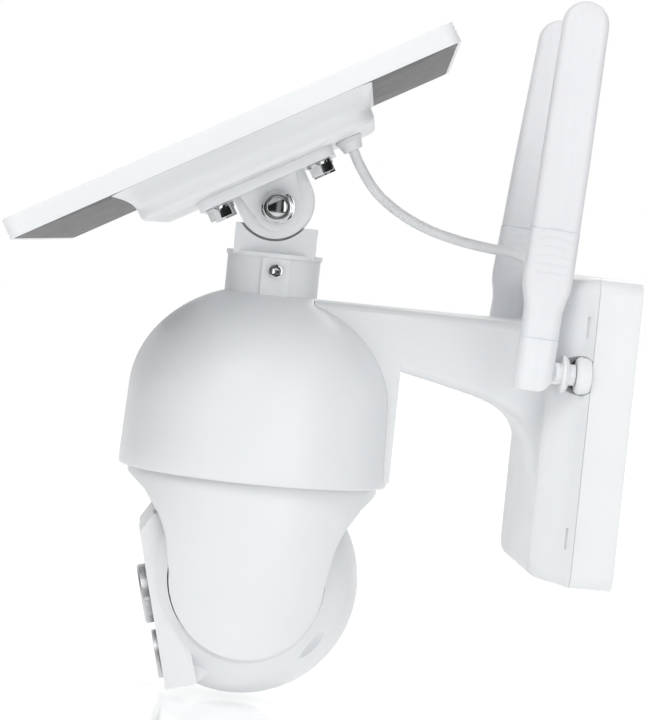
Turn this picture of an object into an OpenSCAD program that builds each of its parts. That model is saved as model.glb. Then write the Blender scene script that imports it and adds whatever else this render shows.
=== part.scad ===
// Solar-powered pan and tilt security camera on a wall housing.
// Origin: centre of the wall housing's back face. +Z is up, the wall is on the +Y side and the
// camera stands out towards -Y.

/* [Wall housing] */
// Width of the wall housing
box_w = 130; // [126:1:134]
// Height of the wall housing
box_h = 131.5; // [128:0.5:134]
// Depth of the rear housing's straight side wall
rear_d = 18.2; // [17.8:0.1:18.6]
// Full depth of the housing, wall to front face
box_d = 34.3; // [34:0.1:34.6]
// Wall thickness of the moulded shells
shell_t = 2.6; // [2.2:0.1:2.8]
// Distance from the centre to each wall screw, across and up
wall_screw_at = 46; // [44:1:48]

/* [Arm and hood] */
// Distance from the wall to the camera's turning axis
axis_out = 152.5; // [152:0.1:153]
// Radius of the hood at its rim
hood_r = 59; // [58.5:0.1:59.5]
// Height of the hood's rim
rim_z = -34.9; // [-35.4:0.1:-34.4]
// Radius of the collar on top of the hood
collar_r = 20.3; // [20:0.1:20.6]
// Height of the collar's top
collar_z = 60; // [59.5:0.5:60.5]

/* [Solar panel] */
// Height of the panel's tilt pivot
pivot_z = 82; // [81.5:0.1:82.5]
// Rest tilt of the panel, low edge to the front
panel_tilt = 29.5; // [29:0.5:30]
// Rest turn of the panel about the upright post
panel_turn = -4.9; // [-5.5:0.1:-4.5]
// Panel size along its slope
panel_len = 196; // [194:0.5:197]
// Panel size across its slope
panel_wid = 255; // [250:1:258]
// Thickness of the panel's frame
panel_t = 8.6; // [8.4:0.1:9]
// Depth of the junction tray under the panel
tray_d = 13.3; // [13:0.1:13.5]

/* [Camera head] */
// Height of the camera's tilt axis
tilt_z = -77; // [-77.2:0.1:-76.8]
// Radius of the camera ball
ball_r = 50.6; // [50.4:0.1:50.7]
// Rest angle at which the camera looks down
look_down = 15; // [13:0.5:17]
// Radius of the yoke's round ears
ear_r = 33.3; // [33.1:0.1:33.5]

/* [Antennas] */
// Total length of each antenna
ant_len = 165; // [155:1:168]
// Width of the antenna's paddle
paddle_w = 21; // [19:0.5:22]
// Distance from the centre to each antenna
ant_x = 60; // [60:0.1:60.6]

/* [Cable] */
// Diameter of the solar lead
lead_d = 4.5; // [4:0.1:4.5]

/* [Hidden] */
eps = 0.01;
white = "#f2f4f5";
warm_white = "#eceeee";
steel = "#b9bcbf";
rubber = "#3a3c3e";
board_green = "#2c5a3a";

// Housing corners and seams
box_r = 7;
band_d = 22.2;
band_in = 5;
face_half_w = 49;
face_drop = 2.8;
seam_gap = 0.12;
boss_x = 57;
boss_z = 57.5;
boss_r = 3.6;
m3_r = 1.5;
m3_head_r = 2.85;

// Hood outline: a straight wall below, an ellipse above
dome_a = hood_r - 1.2;
dome_b = 49.3;
dome_z = -2;
hood_steps = 22;
collar_bore_r = 15.05;
plug_r = 15;
collar_floor = 45;
pad_w = 12;
set_screw_z = 54.5;

// Upright post and bracket
post_w = 35;
post_half_x = 14.7;
shoulder_drop = 8;
tongue_half_x = 10;
tongue_r = 10.2;
bracket_ear_r = 16.4;
bracket_ear_up = 3;
ear_room = 0.95;
mid_travel = 3.5;
bracket_ear_x0 = 10.25;
bracket_ear_x1 = 15;
bracket_boss_x = 18.6;
bracket_boss_r = 10.4;
washer_r = 7.4;
flange_t = 4.5;
flange_len = 63;
flange_wid = 56;
under_n = 28.7;
tray_n = under_n - tray_d;
flange_n = tray_n - flange_t;
bracket_bolt_u = 23.75;
bracket_bolt_x = 21;
window_len = 76;
window_wid = 117;
pivot_r = 4;
panel_shift = -2.2;

// Yoke and ball
yoke_r = 54.6;
yoke_top = -24;
yoke_wall = 2.2;
yoke_disc_t = 3;
ear_in_x = 31;
ear_deep_x = 42.5;
ear_hole_r = 24;
flat_x = 30.4;
recess_r = 33.8;
ball_mid = [0, -0.85, -3.2];
almond_at = 52;
face_y = -41.65;
face_top = 33.2;
face_foot = -41.2;
face_mid = -8.3;
cheek_top = 18;
block_half_x = 36;
block_back = -14;
ball_half_x = 38.5;
lens_up = -3.4;
pir_down = -30.4;
pir_r = 10.7;
trunnion_r = 5;
tilt_motor_r = 12;
hub_r = 8;

// Antennas
ant_y = -42;
ant_z = 24.2;
sleeve_w = 16.4;
sleeve_t = 12.5;
sleeve_top = 14;
right_lean = 2.5;
left_lean = 4.9;
socket_y = -24.5;
socket_r = 7.95;

// Route of the solar lead, from the panel's grommet to the housing's gland
lead_route = [
    [10, -123.6, 109.8], [10, -119.6, 102.8], [10, -112, 93], [10, -101, 85], [9.6, -88, 79.2],
    [9, -74, 75.6], [8.5, -60, 73.6], [8, -49, 72.6], [8, -41.4, 68.8]
];
lead_start_dir = [0, 0.5, -0.866];
lead_end_dir = [0, 0.8, -0.6];

// ---------- shared shapes ----------

// Exact rounded slab: two crossed bars and four round corners, thickness along +Z
module slab(w, h, r, t) {
    translate([-w / 2 + r, -h / 2, 0])
        cube([w - 2 * r, h, t]);
    translate([-w / 2, -h / 2 + r, 0])
        cube([w, h - 2 * r, t]);
    for (x = [-1, 1], y = [-1, 1])
        translate([x * (w / 2 - r), y * (h / 2 - r), 0])
            cylinder(t, r = r, $fn = 64);
}

// A slab that stands in the XZ plane and grows towards -Y
module wall_slab(w, h, r, t) {
    rotate([90, 0, 0])
        slab(w, h, r, t);
}

// Points of a rounded rectangle in the XZ plane at depth y
function section(y, hx, z0, z1, r, n = 6) = [
    for (c = [[1, 1, 0], [-1, 1, 90], [-1, -1, 180], [1, -1, 270]], i = [0:n])
        let (a = c[2] + i * 90 / n, cz = c[1] > 0 ? z1 - r : z0 + r)
            [c[0] * (hx - r) + r * cos(a), y, cz + r * sin(a)]
];

// Smooth skin through sections listed from the wall towards the front
module loft(stations) {
    rings = [for (s = stations) section(s[0], s[1], s[2], s[3], s[4])];
    n = len(rings[0]);
    m = len(rings);
    polyhedron(
        points = [for (r = rings, p = r) p],
        faces = concat(
            [[for (i = [0:n - 1]) i]],
            [for (k = [0:m - 2], i = [0:n - 1])
                [k * n + i, (k + 1) * n + i, (k + 1) * n + (i + 1) % n]],
            [for (k = [0:m - 2], i = [0:n - 1])
                [k * n + i, (k + 1) * n + (i + 1) % n, k * n + (i + 1) % n]],
            [[for (i = [n - 1:-1:0]) (m - 1) * n + i]]
        )
    );
}

module at_axis(z = 0) {
    translate([0, -axis_out, z])
        children();
}

// Into the panel's own frame: origin at the pivot, +Y up the slope, +Z out of the panel
module on_panel() {
    at_axis(pivot_z)
        rotate([0, 0, panel_turn])
            rotate([panel_tilt, 0, 0])
                children();
}

module on_post() {
    at_axis(0)
        rotate([0, 0, panel_turn])
            children();
}

// Into the ball's own frame: origin on the tilt axis, -Y out of the lens
module on_ball() {
    at_axis(tilt_z)
        rotate([look_down, 0, 0])
            children();
}

module along_x(x0, x1, r, fn = 64) {
    translate([x0, 0, 0])
        rotate([0, 90, 0])
            cylinder(x1 - x0, r = r, $fn = fn);
}

// Into an antenna's own frame: origin on the fold axis, +Z along the antenna
module on_antenna(side, lean) {
    translate([side * ant_x, ant_y, ant_z])
        rotate([-lean, 0, 0])
            children();
}

// Cap screw with a hex socket, head at the top, shank down -Z
module cap_screw(r, head_r, head_h, length) {
    difference() {
        cylinder(head_h, r = head_r, $fn = 48);
        translate([0, 0, head_h * 0.4])
            cylinder(head_h, r = head_r * 0.5, $fn = 6);
    }
    translate([0, 0, -length])
        cylinder(length + eps, r = r, $fn = 32);
}

// Hex bolt with its head at z = 0 downwards and its shank up +Z
module hex_bolt(r, across, head_h, length) {
    translate([0, 0, -head_h])
        cylinder(head_h, r = across / 2 / cos(30), $fn = 6);
    cylinder(length, r = r, $fn = 32);
}

// ---------- wall housing ----------

module screw_places() {
    for (x = [-1, 1], z = [-1, 1])
        translate([x * boss_x, 0, z * boss_z])
            children();
}

module rear_housing() {
    color(white)
        difference() {
            union() {
                difference() {
                    wall_slab(box_w, box_h, box_r, rear_d);
                    translate([0, -3, 0])
                        wall_slab(box_w - 2 * shell_t, box_h - 2 * shell_t, box_r - shell_t, rear_d);
                }
                screw_places()
                    rotate([90, 0, 0])
                        cylinder(rear_d - 1, r = boss_r, $fn = 48);
            }
            for (x = [-1, 1], z = [-1, 1])
                translate([x * wall_screw_at, eps, z * wall_screw_at])
                    rotate([90, 0, 0])
                        cylinder(4, r = 2.6, $fn = 48);
            screw_places()
                rotate([90, 0, 0]) {
                    translate([0, 0, -eps])
                        cylinder(rear_d, r = m3_r + 0.1, $fn = 32);
                    translate([0, 0, -eps])
                        cylinder(3.4, r = m3_head_r + 0.2, $fn = 48);
                }
        }
}

cover_y = -(rear_d + seam_gap);
cover_top = box_h / 2;

// Sections of the front cover, shrunk by t for its inside
function cover_sections(t) = [
    [cover_y + (t > 0 ? eps : 0), box_w / 2 - t, -cover_top + t, cover_top - t, box_r - t],
    [-band_d + t * 0.4, box_w / 2 - band_in - t, -cover_top + 0.8 + t, cover_top - 0.8 - t, box_r - t],
    [-26.5 + t * 0.6, 56.4 - t, -cover_top + 1.2 + t, cover_top - 1.2 - t, box_r - t],
    [-30.5 + t, 52.8 - t, -cover_top + 1.9 + t, cover_top - 1.9 - t, box_r - t],
    [-33 + t, 50.4 - t, -cover_top + 3.2 + t, cover_top - 3.2 - t, box_r - t],
    [-box_d + t, face_half_w - t, -cover_top + 5.4 + t, cover_top - 5.4 - t, box_r - t]
];

module front_cover() {
    color(white)
        difference() {
            loft(cover_sections(0));
            loft(cover_sections(shell_t));
            for (side = [-1, 1])
                translate([side * ant_x, -17, ant_z])
                    rotate([90, 0, 0])
                        cylinder(20, r = socket_r + 0.3, $fn = 64);
            for (side = [-1, 1], z = [-44.7, 44.7])
                translate([side * 63, -21.2, z])
                    cube([6, 0.9, 9], center = true);
            translate([0, -box_d + 6, 22])
                rotate([90, 0, 0])
                    cylinder(12, r = 8, $fn = 48);
            gland_frame() {
                translate([0, 0, -12])
                    cylinder(30, r = 4.1, $fn = 48);
                translate([0, 0, 0.95])
                    cylinder(12, r = 6.8, $fn = 48);
            }
        }
}

module cover_seal() {
    color(rubber)
        translate([0, -rear_d + 1.4, 0])
            difference() {
                wall_slab(box_w - 2 * shell_t - 0.2, box_h - 2 * shell_t - 0.2, box_r - shell_t, 1.4);
                translate([0, eps, 0])
                    wall_slab(box_w - 2 * shell_t - 3.2, box_h - 2 * shell_t - 3.2, box_r - shell_t - 1, 2);
                screw_places()
                    translate([0, 1, 0])
                        rotate([90, 0, 0])
                            cylinder(4, r = boss_r + 0.1, $fn = 48);
            }
}

module housing_screws() {
    color(steel)
        screw_places()
            translate([0, -3.3, 0])
                rotate([-90, 0, 0])
                    cap_screw(m3_r, m3_head_r, 2.4, 13);
}

cell_r = 9.2;
cell_rows = 3;
cell_pitch = 19.4;
cell_z = -40;

module battery_cells() {
    color("#3c6ea5")
        for (i = [0:cell_rows - 1])
            translate([-32.5, -13.5, cell_z + i * cell_pitch])
                rotate([0, 90, 0]) {
                    cylinder(64, r = cell_r, $fn = 48);
                    cylinder(65, r = 3, $fn = 32);
                }
}

module battery_holder() {
    color("#2b2d30")
        difference() {
            translate([-37, -16, cell_z - 10.5])
                cube([74, 12.8, cell_rows * cell_pitch + 1.6]);
            for (i = [0:cell_rows - 1])
                translate([0, -13.5, cell_z + i * cell_pitch])
                    along_x(-33, 33, cell_r + 0.15, 48);
        }
}

module charge_board() {
    color(board_green)
        translate([-30, -8, 22]) {
            cube([44, 1.6, 34]);
            for (p = [[6, 8, 9, 7], [22, 6, 12, 12], [8, 22, 6, 6], [28, 24, 8, 5]])
                translate([p[0], -2.4, p[1]])
                    cube([p[2], 2.5, p[3]]);
        }
}

module radio_board() {
    color(board_green)
        translate([18, -8, 22]) {
            cube([26, 1.6, 34]);
            translate([4, -2.2, 6])
                cube([18, 2.3, 20]);
        }
}

module antenna_sockets() {
    color(white)
        for (side = [-1, 1])
            translate([side * ant_x, 0, ant_z])
                rotate([90, 0, 0])
                    difference() {
                        union() {
                            translate([0, 0, rear_d + seam_gap + 0.2])
                                cylinder(-socket_y - 1.4 - rear_d - seam_gap, r = socket_r, $fn = 64);
                            translate([0, 0, -socket_y - 1.2])
                                cylinder(1.2, r1 = socket_r, r2 = 6.8, $fn = 64);
                        }
                        cylinder(30, r = 3.05, $fn = 48);
                    }
}

// The gland's own frame: +Z out along the lead
module gland_frame() {
    translate([8, -31.4, 61.3])
        rotate([53.13, 0, 0])
            children();
}

module lead_gland() {
    color(white)
        gland_frame()
            difference() {
                union() {
                    translate([0, 0, -6])
                        cylinder(7, r = 4, $fn = 48);
                    translate([0, 0, 1])
                        cylinder(3, r = 6.2, $fn = 6);
                    translate([0, 0, 4])
                        cylinder(6, r1 = 5.2, r2 = 4.4, $fn = 48);
                    translate([0, 0, 10])
                        cylinder(2.2, r1 = 4.4, r2 = 3.4, $fn = 48);
                }
                translate([0, 0, -7])
                    cylinder(20, r = lead_d / 2 + 0.15, $fn = 48);
            }
}

// ---------- arm and hood ----------

arm_stations = [
    [-box_d, 43, -22, 46.5, 7],
    [-box_d - 0.9, 40, -16, 45.6, 7],
    [-36.6, 36, -8, 44.6, 7],
    [-39.4, 33, -2.5, 44, 7],
    [-43, 30.5, 1.2, 43.6, 6.5],
    [-48, 28, 4.2, 43.5, 6],
    [-53, 26, 6.5, 43.5, 6],
    [-62, 23.5, 9.4, 43.5, 5.5],
    [-73, 21.6, 12, 43.5, 5],
    [-84, 20.4, 14.4, 43.5, 4.5],
    [-95, 20, 16.7, 43.5, 4],
    [-134, 20, 25, 43.5, 4]
];

function arm_inner(t) = [
    for (s = arm_stations)
        if (s[0] > -100)
            [s[0] == -box_d ? s[0] + 2 : s[0], s[1] - t, s[2] + t, s[3] - t, s[4] - t]
];

module arm() {
    color(white)
        difference() {
            union() {
                loft(arm_stations);
                translate([-20, -128, rim_z + 3])
                    cube([40, 128 - 94.3, 41 - rim_z - 3]);
            }
            at_axis()
                hood_volume(seam_gap / 3);
            loft(arm_inner(shell_t));
        }
}

// Outline of the hood from the collar down to the rim, grown by g
function hood_outline(g) = [
    for (i = [0:hood_steps])
        let (a0 = acos(collar_r / dome_a), a = a0 * (1 - i / hood_steps))
            [(dome_a + g) * cos(a), dome_z + (dome_b + g) * sin(a)]
];

module hood_volume(g) {
    rotate_extrude($fn = 96)
        polygon(concat(
            [[0, rim_z], [0, collar_floor]],
            [[collar_r, collar_floor]],
            hood_outline(g),
            [[hood_r + g, rim_z + 1.4], [hood_r + g, rim_z]]
        ));
}

module dome_hood() {
    color(white)
        at_axis()
            difference() {
                rotate_extrude($fn = 96)
                    polygon(concat(
                        [[collar_bore_r, collar_floor], [collar_bore_r, collar_z], [collar_r, collar_z]],
                        hood_outline(0),
                        [[hood_r, rim_z + 1.4], [hood_r - 0.6, rim_z], [hood_r - shell_t, rim_z]],
                        [for (i = [hood_steps:-1:0]) hood_outline(-shell_t)[i]],
                        [[5, 43], [5, collar_floor]]
                    ));
                translate([0, 0, set_screw_z])
                    along_x(10, 24, m3_r + 0.05, 32);
                translate([0, 0, 30])
                    rotate([-90, 0, 0])
                        cylinder(70, r = 6, $fn = 48);
            }
    color(white)
        at_axis()
            difference() {
                translate([collar_r - 2.5, -pad_w / 2, 43.8])
                    cube([3.1, pad_w, collar_z - 43.8]);
                cylinder(80, r = 17.5, $fn = 96);
                translate([0, 0, set_screw_z])
                    along_x(10, 24, m3_r + 0.05, 32);
            }
}

module collar_set_screw() {
    color(steel)
        at_axis(set_screw_z)
            translate([collar_r + 0.65, 0, 0])
                rotate([0, 90, 0])
                    cap_screw(m3_r, m3_head_r, 2.6, collar_r + 0.6 - plug_r);
}

carrier_z = -14;

module carrier_places() {
    for (a = [45:90:315])
        rotate([0, 0, a])
            translate([46, 0, 0])
                children();
}

module pan_carrier() {
    color(warm_white)
        at_axis(carrier_z)
            difference() {
                union() {
                    cylinder(3, r = 55.4, $fn = 96);
                    cylinder(10, r = 18, $fn = 64);
                }
                translate([0, 0, -1])
                    cylinder(5.2, r = hub_r + 0.05, $fn = 64);
                translate([0, 0, 4])
                    cylinder(8, r = 14.1, $fn = 64);
                carrier_places()
                    translate([0, 0, -1])
                        cylinder(6, r = m3_r + 0.1, $fn = 32);
            }
}

module carrier_screws() {
    color(steel)
        at_axis(carrier_z)
            carrier_places()
                translate([0, 0, -0.02])
                    rotate([180, 0, 0])
                        cap_screw(m3_r, m3_head_r, 2.4, 8);
}

module pan_motor() {
    color("#8d9196")
        at_axis(carrier_z + 4.2)
            difference() {
                union() {
                    cylinder(19, r = 14, $fn = 64);
                    translate([0, 0, 6])
                        intersection() {
                            translate([-21, -3.5, 0])
                                cube([42, 7, 1]);
                            cylinder(2, r = 17, $fn = 48);
                        }
                }
                translate([0, 0, -1])
                    cylinder(14, r = 2.55, $fn = 32);
            }
}

// ---------- post, bracket and panel ----------

module panel_post() {
    color(white)
        on_post()
            difference() {
                union() {
                    translate([0, 0, collar_floor + 1])
                        cylinder(collar_z - collar_floor, r = plug_r, $fn = 96);
                    translate([0, 0, collar_z + 0.05])
                        cylinder(2, r = 21, $fn = 96);
                    translate([-post_half_x, -post_w / 2, collar_z + 1])
                        cube([2 * post_half_x, post_w, pivot_z - shoulder_drop - collar_z - 1]);
                    translate([-tongue_half_x, -tongue_r, pivot_z - 8])
                        cube([2 * tongue_half_x, 2 * tongue_r, 8]);
                    translate([0, 0, pivot_z])
                        along_x(-tongue_half_x, tongue_half_x, tongue_r);
                }
                // Room for the bracket's ears over their whole travel
                for (side = [-1, 1])
                    translate([0, 0, pivot_z])
                        rotate([panel_tilt + mid_travel, 0, 0])
                            translate([0, 0, bracket_ear_up])
                                along_x(side > 0 ? tongue_half_x : -20, side > 0 ? 20 : -tongue_half_x,
                                    bracket_ear_r + ear_room);
                translate([0, 0, pivot_z])
                    along_x(-30, 30, pivot_r + 0.06);
            }
}

module bracket_ear(side) {
    x0 = side > 0 ? bracket_ear_x0 : -bracket_ear_x1;
    x1 = side > 0 ? bracket_ear_x1 : -bracket_ear_x0;
    b0 = side > 0 ? bracket_ear_x1 - eps : -bracket_boss_x;
    b1 = side > 0 ? bracket_boss_x : -bracket_ear_x1 + eps;
    translate([0, 0, bracket_ear_up])
        along_x(x0, x1, bracket_ear_r);
    translate([x0, -bracket_ear_r, bracket_ear_up])
        cube([x1 - x0, 2 * bracket_ear_r, flange_n + 1 - bracket_ear_up]);
    along_x(b0, b1, bracket_boss_r);
    intersection() {
        translate([b0, -bracket_ear_r, 0])
            cube([b1 - b0, 2 * bracket_ear_r, flange_n + 1]);
        rotate([90, 0, 90])
            translate([0, 0, b0])
                linear_extrude(b1 - b0)
                    polygon([[-bracket_boss_r, -0.5], [bracket_boss_r, -0.5], [13.4, 12], [-13.4, 12]]);
    }
}

module bracket_bolt_places() {
    for (x = [-1, 1], u = [-1, 1])
        translate([x * bracket_bolt_x, u * bracket_bolt_u, 0])
            children();
}

module tilt_bracket() {
    color(white)
        on_panel()
            difference() {
                union() {
                    translate([0, 0, flange_n])
                        slab(flange_wid, flange_len, 6, flange_t - 0.05);
                    for (side = [-1, 1])
                        bracket_ear(side);
                }
                along_x(-30, 30, pivot_r + 0.06);
                translate([-40, -40, tray_n - 0.05])
                    cube([80, 80, 10]);
                bracket_bolt_places()
                    translate([0, 0, flange_n - 1])
                        cylinder(8, r = 3.1, $fn = 48);
            }
}

module pivot_bolt() {
    color(steel)
        on_panel() {
            along_x(-bracket_boss_x - 2, bracket_boss_x + 9.6, pivot_r);
            along_x(-bracket_boss_x - 6.9, -bracket_boss_x - 1.55, 13 / 2 / cos(30), 6);
        }
}

module pivot_washers() {
    color(steel)
        on_panel()
            for (x0 = [-bracket_boss_x - 1.5, bracket_boss_x + 0.05])
                difference() {
                    along_x(x0, x0 + 1.4, washer_r);
                    along_x(x0 - 1, x0 + 3, pivot_r + 0.2);
                }
}

module pivot_nut() {
    color(steel)
        on_panel()
            translate([bracket_boss_x + 1.5, 0, 0])
                difference() {
                    union() {
                        along_x(0, 5.5, 13 / 2 / cos(30), 6);
                        along_x(5.5 - eps, 7.4, 6, 64);
                    }
                    along_x(-1, 9, pivot_r + 0.02, 64);
                }
}

module bracket_bolts() {
    color(steel)
        on_panel()
            bracket_bolt_places()
                translate([0, 0, flange_n - 0.05]) {
                    translate([0, 0, -1.6])
                        hex_bolt(3, 10, 4, 13.6);
                    translate([0, 0, -1.6])
                        cylinder(1.6, r = 5.6, $fn = 48);
                }
}

// Sections of the tray from its floor up to the flare under the panel
function tray_sections() = [
    for (p = [
        [0, 70.5, 50, 8], [0.6, 72.1, 51.6, 9], [2, 73.3, 52.8, 10], [4, 73.5, 53, 10],
        [6, 75, 53.1, 10], [8, 80, 53.5, 10], [10, 89.5, 54.1, 10.5], [11.6, 103, 55.1, 11],
        [12.5, 114.5, 56.2, 11.5], [tray_d - 0.05, panel_wid / 2 - 2, 57, 12]
    ])
        [tray_n + p[0], p[1], p[2], p[3]]
];

module panel_tray() {
    color(white)
        on_panel()
            difference() {
                stack(tray_sections());
                translate([0, 0, tray_n + shell_t])
                    slab(134, 94, 6, tray_d);
                bracket_bolt_places()
                    translate([0, 0, tray_n - 1])
                        cylinder(5, r = 3.1, $fn = 48);
                translate([grommet_x, grommet_u, tray_n - 1])
                    cylinder(5, r = 4.05, $fn = 48);
            }
}

rim_w = 6;
back_t = 1.4;
lip_w = 1.5;

module panel_frame() {
    color(white)
        on_panel()
            difference() {
                translate([0, panel_shift, under_n])
                    slab(panel_wid, panel_len, 6, panel_t);
                translate([0, panel_shift, under_n - 1])
                    slab(panel_wid - 2 * lip_w, panel_len - 2 * lip_w, 4.5, back_t + 1);
                translate([0, panel_shift, under_n + 3.2])
                    slab(panel_wid - 2 * rim_w + 6, panel_len - 2 * rim_w + 6, 2, panel_t);
                translate([0, 0, under_n - 1])
                    slab(window_wid, window_len, 4, panel_t);
            }
}

// Grey back of the panel, under the frame and between its lips
module panel_backsheet() {
    color("#6f7275")
        on_panel()
            difference() {
                union() {
                    translate([0, panel_shift, under_n])
                        slab(panel_wid - 2 * lip_w - 0.3, panel_len - 2 * lip_w - 0.3, 4.35, back_t - 0.05);
                    translate([0, panel_shift, under_n + 3.25])
                        slab(panel_wid - 2 * rim_w + 5.6, panel_len - 2 * rim_w + 5.6, 1.8, 1.2);
                    translate([0, 0, under_n + 1])
                        slab(40, 40, 4, 3);
                }
                translate([grommet_x, grommet_u, under_n - 1])
                    cylinder(9, r = 4, $fn = 48);
            }
}

cell_cols = 6;
cell_lines = 3;

module solar_cells() {
    pitch_x = (panel_wid - 20) / cell_cols;
    pitch_u = (panel_len - 22) / cell_lines;
    color("#16213d")
        on_panel()
            for (i = [0:cell_cols - 1], j = [0:cell_lines - 1])
                translate([(i - (cell_cols - 1) / 2) * pitch_x,
                    (j - (cell_lines - 1) / 2) * pitch_u + panel_shift, under_n + 4.5])
                    translate([-(pitch_x - 2) / 2, -(pitch_u - 2) / 2, 0])
                        cube([pitch_x - 2, pitch_u - 2, 0.4]);
}

module panel_glass() {
    color("#2a3242")
        on_panel()
            translate([0, panel_shift, under_n + 5])
                slab(panel_wid - 2 * rim_w + 5.6, panel_len - 2 * rim_w + 5.6, 1.8, 3.4);
}

grommet_x = 7.6;
grommet_u = 39.5;

module lead_grommet() {
    color(white)
        on_panel()
            translate([grommet_x, grommet_u, tray_n])
                difference() {
                    union() {
                        translate([0, 0, -1.5])
                            cylinder(1.45, r = 6, $fn = 64);
                        translate([0, 0, -5.9])
                            cylinder(4.5, r1 = 4.2, r2 = 5.6, $fn = 64);
                        translate([0, 0, -0.1])
                            cylinder(3.6, r = 4, $fn = 64);
                    }
                    translate([0, 0, -7])
                        cylinder(14, r = lead_d / 2 + 0.35, $fn = 48);
                }
}

// ---------- camera head ----------

// Side view of the yoke: half-width across Y at height z
yoke_side = [[54.6, -38], [51, -40.5], [47, -43.5], [43.7, -48], [40.6, -52], [38.4, -56],
    [36.2, -61.5], [34.9, -68]];

module yoke_silhouette() {
    polygon(concat(
        [for (p = yoke_side) [p[0], p[1]]],
        [for (a = [0:-7.5:-180]) [ear_r * cos(a), tilt_z + ear_r * sin(a)]],
        [for (i = [len(yoke_side) - 1:-1:0]) [-yoke_side[i][0], yoke_side[i][1]]],
        [[-yoke_r, yoke_top - yoke_disc_t], [yoke_r, yoke_top - yoke_disc_t]]
    ));
}

// Round bowl that shapes the ears outside, shrunk by g for their inside
module yoke_round(g, top) {
    rotate_extrude($fn = 96)
        polygon(concat(
            [[0, -118], [0, top], [yoke_r - g - 1.5, top], [yoke_r - g, top - 1.5]],
            [for (i = [0:12])
                let (t = i / 12) [yoke_r - g - 6 * pow(t, 2.2), -52 - t * 66]]
        ));
}

module yoke() {
    color(white)
        at_axis()
            difference() {
                intersection() {
                    yoke_round(0, yoke_top);
                    union() {
                        rotate([90, 0, 90])
                            translate([0, 0, -60])
                                linear_extrude(120)
                                    yoke_silhouette();
                        translate([-60, -60, yoke_top - yoke_disc_t - 1])
                            cube([120, 120, 10]);
                    }
                }
                difference() {
                    yoke_round(yoke_wall, yoke_top - yoke_disc_t);
                    translate([0, 0, tilt_z])
                        for (x = [[ear_in_x, 60], [-60, -ear_in_x]])
                            along_x(x[0], x[1], ear_r, 96);
                }
                translate([0, 0, tilt_z])
                    for (x = [[ear_in_x - 1, ear_deep_x], [-ear_deep_x, -ear_in_x + 1]])
                        along_x(x[0], x[1], ear_hole_r);
                translate([0, 0, yoke_top - 10])
                    cylinder(12, r = 4.6, $fn = 48);
            }
}

module pan_hub() {
    color(warm_white)
        at_axis(yoke_top + 0.02)
            difference() {
                union() {
                    cylinder(carrier_z - yoke_top - 0.4, r = 13, $fn = 64);
                    cylinder(carrier_z - yoke_top + 3.8, r = hub_r, $fn = 64);
                }
                translate([0, 0, -1])
                    cylinder(30, r = 2.5, $fn = 32);
            }
}

module pan_shaft() {
    color(steel)
        at_axis(yoke_top + 1)
            cylinder(24, r = 2.48, $fn = 32);
}

module ear_plates() {
    color(warm_white)
        at_axis(tilt_z)
            for (x0 = [ear_in_x + 0.4, -ear_in_x - 2.4])
                difference() {
                    along_x(x0, x0 + 2, ear_hole_r - 0.1);
                    along_x(x0 - 1, x0 + 3, trunnion_r + 0.05);
                }
}

module tilt_motor() {
    color("#8d9196")
        at_axis(tilt_z)
            difference() {
                along_x(ear_in_x + 2.6, ear_deep_x - 0.2, tilt_motor_r);
                along_x(ear_in_x, 41, 3.05, 32);
            }
}

module tilt_shafts() {
    color(steel)
        on_ball() {
            for (side = [-1, 1])
                along_x(side > 0 ? flat_x - 3 : -ear_in_x - 2.3, side > 0 ? ear_in_x + 2.3 : -flat_x + 3,
                    trunnion_r, 64);
            along_x(ear_in_x + 2.2, 40.8, 3, 32);
        }
}

module almond() {
    rotate_extrude($fn = 48)
        polygon([for (i = [-8:8]) [3.4 * cos(i * 11.25) + (abs(i) == 8 ? 0 : eps), i * 1.15]]);
}

// Side profile of the front block, in the YZ plane
module block_profile(t) {
    polygon([
        [face_y + t, face_foot + t], [face_y + t, 23.6], [face_y + 0.7 + t, 27.1],
        [-34.55, face_top - t], [block_back, face_top - t], [block_back, -34 + t], [-28, face_foot + t]
    ]);
}

// Part of the ball's skin between x = -half and x = +half, turned about the tilt axis
module ball_slice(r, half, n = 24) {
    rotate([0, 90, 0])
        rotate_extrude($fn = 96)
            polygon(concat(
                [[0, -half]],
                [for (i = [0:n])
                    let (x = half * (2 * i / n - 1)) [sqrt(r * r - x * x), x]],
                [[0, half]]
            ));
}

// The ball with its front block, shrunk by t
module ball_body(t) {
    difference() {
        translate(ball_mid)
            ball_slice(ball_r - t, t > 0 ? flat_x - t : ball_half_x);
        translate([-60, face_y + t - 60, -60])
            cube([120, 60, 120]);
    }
    rotate([90, 0, 90])
        translate([0, 0, -flat_x + t])
            linear_extrude(2 * (flat_x - t))
                block_profile(t);
}

// Cheeks that widen the block towards its foot, in front of and below the ears
module block_cheeks() {
    hull() {
        rotate([90, 0, 90])
            translate([0, 0, -block_half_x])
                linear_extrude(2 * block_half_x)
                    polygon([[face_y, face_foot], [face_y, -14], [-34, -14], [-33.4, -22],
                        [-27.9, face_foot]]);
        rotate([90, 0, 90])
            translate([0, 0, -flat_x])
                linear_extrude(2 * flat_x)
                    polygon([[face_y, cheek_top], [-30, cheek_top], [-30, cheek_top - 6]]);
    }
}

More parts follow.
